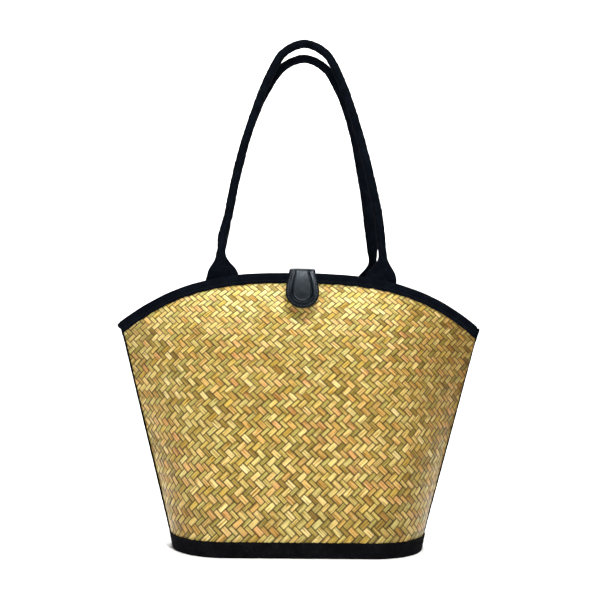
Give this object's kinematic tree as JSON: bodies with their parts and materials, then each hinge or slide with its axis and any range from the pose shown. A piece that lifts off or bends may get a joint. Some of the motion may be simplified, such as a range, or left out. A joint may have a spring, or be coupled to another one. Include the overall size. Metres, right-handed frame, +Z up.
{
  "type": "straw basket bag",
  "caption": "Woven straw tote with an arched rim bound in black cloth, tall padded shoulder handles, a leather closing tab with a snap and black webbing round its oval foot.",
  "frame": {"origin": "centre of the underside, on the surface the bag stands on", "axes": "+Z up, -Y out of the front with the tab, +X to the right as seen from the front"},
  "size_m": [0.423, 0.1278, 0.598],
  "materials": {
    "straw": "flat straw strips in a diagonal weave, dry with a slight sheen",
    "cloth": "black canvas, matt",
    "webbing": "black ribbed webbing, matt",
    "leather": "smooth blue-black leather, satin",
    "snap_metal": "plain nickel, hidden under the tab"
  },
  "bodies": {
    "root": {"straw_wall_front": "straw", "straw_wall_back": "straw", "straw_base": "straw", "foot_band": "webbing", "rim_binding_front": "cloth", "rim_binding_back": "cloth", "seam_tape_left": "cloth", "seam_tape_right": "cloth", "handle_front": "cloth", "handle_back": "cloth", "closing_tab": "leather", "snap": "snap_metal"}
  },
  "joints": []
}
